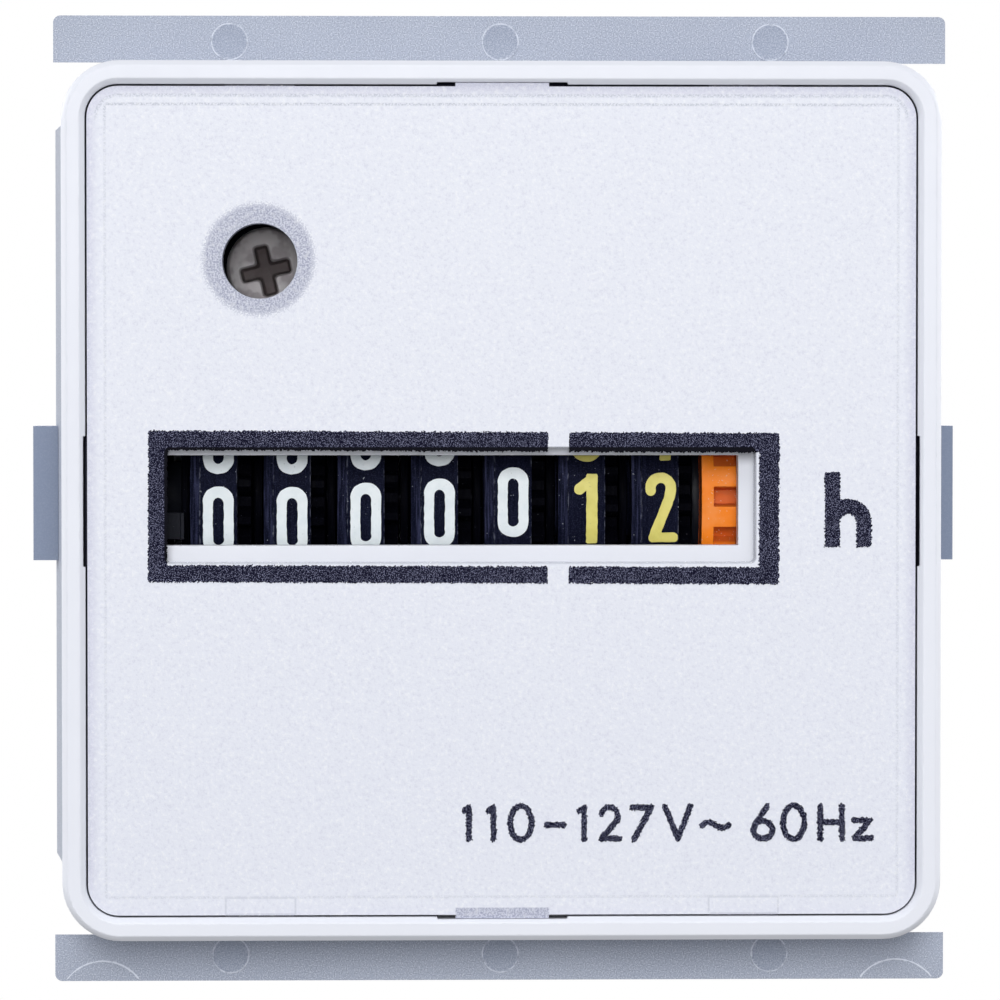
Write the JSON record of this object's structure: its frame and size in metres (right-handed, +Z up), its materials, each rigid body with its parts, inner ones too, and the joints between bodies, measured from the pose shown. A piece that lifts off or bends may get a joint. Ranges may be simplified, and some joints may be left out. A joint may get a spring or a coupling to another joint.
{
  "type": "hour meter",
  "caption": "Square panel-mount hour meter: white bezel, printed front plate with a window on digit drums and an orange run wheel, grey sliding mounting frame, rear blade terminals.",
  "frame": {"origin": "centre of the panel cut-out, in the plane of the panel face that the bezel rests on", "axes": "+X to the right seen from the front, +Y from the front into the panel, +Z up"},
  "size_m": [0.0542, 0.049, 0.0536],
  "materials": {
    "case": "satin moulded white",
    "front_plate": "fine matte grain, clear window, printed from behind",
    "mounting_frame": "grey moulded, satin",
    "rear_base": "white moulded, satin",
    "case_screw": "worn plated steel",
    "terminal_brass": "stamped, tinned edge",
    "counter_chassis": "black moulded",
    "shaft_steel": "ground steel",
    "drum_plastic": "black satin with printed digits",
    "run_wheel": "orange satin",
    "pinion_plastic": "natural acetal",
    "gear_plastic": "natural acetal",
    "plate_brass": "stamped, dull",
    "small_screw_steel": "zinc plated",
    "rotor_magnet": "dark sintered ferrite",
    "stator_steel": "stamped, plated",
    "coil_bobbin": "natural nylon",
    "coil_winding": "enamelled copper wire",
    "lead_wire_left": "blue insulation",
    "lead_wire_right": "red insulation"
  },
  "bodies": {
    "meter": {"case": "case", "front_plate": "front_plate", "rear_base": "rear_base", "case_screw": "case_screw", "terminal_tab_left": "terminal_brass", "terminal_tab_right": "terminal_brass", "counter_chassis": "counter_chassis", "drum_shaft": "shaft_steel", "pinion_shaft": "shaft_steel", "first_arbor": "shaft_steel", "second_arbor": "shaft_steel", "third_arbor": "shaft_steel", "gear_plate": "plate_brass", "gear_plate_screws": "small_screw_steel", "rotor_arbor": "shaft_steel", "stator_cup_left": "stator_steel", "stator_cup_right": "stator_steel", "motor_end_plate": "plate_brass", "coil_bobbin": "coil_bobbin", "coil_winding": "coil_winding", "motor_screws": "small_screw_steel", "lead_wire_left": "lead_wire_left", "lead_wire_right": "lead_wire_right"},
    "drum_ten_thousands": {"drum_ten_thousands": "drum_plastic"},
    "pinion_ten_thousands": {"pinion_ten_thousands": "pinion_plastic"},
    "drum_thousands": {"drum_thousands": "drum_plastic"},
    "pinion_thousands": {"pinion_thousands": "pinion_plastic"},
    "drum_hundreds": {"drum_hundreds": "drum_plastic"},
    "pinion_hundreds": {"pinion_hundreds": "pinion_plastic"},
    "drum_tens": {"drum_tens": "drum_plastic"},
    "pinion_tens": {"pinion_tens": "pinion_plastic"},
    "drum_units": {"drum_units": "drum_plastic"},
    "pinion_units": {"pinion_units": "pinion_plastic"},
    "drum_tenths": {"drum_tenths": "drum_plastic"},
    "pinion_tenths": {"pinion_tenths": "pinion_plastic"},
    "drum_hundredths": {"drum_hundredths": "drum_plastic"},
    "pinion_hundredths": {"pinion_hundredths": "pinion_plastic"},
    "frame": {"mounting_frame": "mounting_frame"},
    "run_wheel": {"run_wheel": "run_wheel"},
    "first_gear": {"first_gear": "gear_plastic"},
    "second_gear": {"second_gear": "gear_plastic"},
    "third_gear": {"third_gear": "gear_plastic"},
    "rotor": {"rotor_magnet": "rotor_magnet", "rotor_pinion": "gear_plastic"}
  },
  "joints": [
    {"name": "frame_slide", "type": "slide", "parent": "meter", "child": "frame", "axis": [0, 1, 0], "range_m": [0, 0.037]},
    {"name": "drum_ten_thousands_spin", "type": "hinge", "parent": "meter", "child": "drum_ten_thousands", "pos_m": [-0.0156, 0.0079, 0], "axis": [1, 0, 0], "continuous": true},
    {"name": "pinion_ten_thousands_spin", "type": "hinge", "parent": "meter", "child": "pinion_ten_thousands", "pos_m": [-0.0156, 0.0079, -0.00868], "axis": [1, 0, 0], "continuous": true},
    {"name": "drum_thousands_spin", "type": "hinge", "parent": "meter", "child": "drum_thousands", "pos_m": [-0.01153, 0.0079, 0], "axis": [1, 0, 0], "continuous": true},
    {"name": "pinion_thousands_spin", "type": "hinge", "parent": "meter", "child": "pinion_thousands", "pos_m": [-0.01153, 0.0079, -0.00868], "axis": [1, 0, 0], "continuous": true},
    {"name": "drum_hundreds_spin", "type": "hinge", "parent": "meter", "child": "drum_hundreds", "pos_m": [-0.00746, 0.0079, 0], "axis": [1, 0, 0], "continuous": true},
    {"name": "pinion_hundreds_spin", "type": "hinge", "parent": "meter", "child": "pinion_hundreds", "pos_m": [-0.00746, 0.0079, -0.00868], "axis": [1, 0, 0], "continuous": true},
    {"name": "drum_tens_spin", "type": "hinge", "parent": "meter", "child": "drum_tens", "pos_m": [-0.00339, 0.0079, 0], "axis": [1, 0, 0], "continuous": true},
    {"name": "pinion_tens_spin", "type": "hinge", "parent": "meter", "child": "pinion_tens", "pos_m": [-0.00339, 0.0079, -0.00868], "axis": [1, 0, 0], "continuous": true},
    {"name": "drum_units_spin", "type": "hinge", "parent": "meter", "child": "drum_units", "pos_m": [0.00068, 0.0079, 0], "axis": [1, 0, 0], "continuous": true},
    {"name": "pinion_units_spin", "type": "hinge", "parent": "meter", "child": "pinion_units", "pos_m": [0.00068, 0.0079, -0.00868], "axis": [1, 0, 0], "continuous": true},
    {"name": "drum_tenths_spin", "type": "hinge", "parent": "meter", "child": "drum_tenths", "pos_m": [0.00475, 0.0079, 0], "axis": [1, 0, 0], "continuous": true},
    {"name": "pinion_tenths_spin", "type": "hinge", "parent": "meter", "child": "pinion_tenths", "pos_m": [0.00475, 0.0079, -0.00868], "axis": [1, 0, 0], "continuous": true},
    {"name": "drum_hundredths_spin", "type": "hinge", "parent": "meter", "child": "drum_hundredths", "pos_m": [0.00882, 0.0079, 0], "axis": [1, 0, 0], "continuous": true},
    {"name": "pinion_hundredths_spin", "type": "hinge", "parent": "meter", "child": "pinion_hundredths", "pos_m": [0.00882, 0.0079, -0.00868], "axis": [1, 0, 0], "continuous": true},
    {"name": "second_gear_spin", "type": "hinge", "parent": "meter", "child": "second_gear", "pos_m": [0.018, 0.02158, -0.00852], "axis": [1, 0, 0], "continuous": true},
    {"name": "third_gear_spin", "type": "hinge", "parent": "meter", "child": "third_gear", "pos_m": [0.016, 0.01365, -0.00482], "axis": [1, 0, 0], "continuous": true},
    {"name": "run_wheel_spin", "type": "hinge", "parent": "meter", "child": "run_wheel", "pos_m": [0.0125, 0.0079, 0], "axis": [1, 0, 0], "continuous": true},
    {"name": "first_gear_spin", "type": "hinge", "parent": "meter", "child": "first_gear", "pos_m": [0.0185, 0.02689, -0.00323], "axis": [1, 0, 0], "continuous": true},
    {"name": "rotor_spin", "type": "hinge", "parent": "meter", "child": "rotor", "pos_m": [0.008, 0.0256, 0.0016], "axis": [1, 0, 0], "continuous": true}
  ],
  "couplings": [
    {"joint": "pinion_ten_thousands_spin", "follows": "drum_ten_thousands_spin", "ratio": -2.5},
    {"joint": "pinion_thousands_spin", "follows": "drum_thousands_spin", "ratio": -2.5},
    {"joint": "pinion_hundreds_spin", "follows": "drum_hundreds_spin", "ratio": -2.5},
    {"joint": "pinion_tens_spin", "follows": "drum_tens_spin", "ratio": -2.5},
    {"joint": "pinion_units_spin", "follows": "drum_units_spin", "ratio": -2.5},
    {"joint": "pinion_tenths_spin", "follows": "drum_tenths_spin", "ratio": -2.5},
    {"joint": "pinion_hundredths_spin", "follows": "drum_hundredths_spin", "ratio": -2.5},
    {"joint": "third_gear_spin", "follows": "second_gear_spin", "ratio": -0.16667},
    {"joint": "run_wheel_spin", "follows": "second_gear_spin", "ratio": 0.041667},
    {"joint": "first_gear_spin", "follows": "second_gear_spin", "ratio": -5},
    {"joint": "rotor_spin", "follows": "second_gear_spin", "ratio": 15}
  ]
}
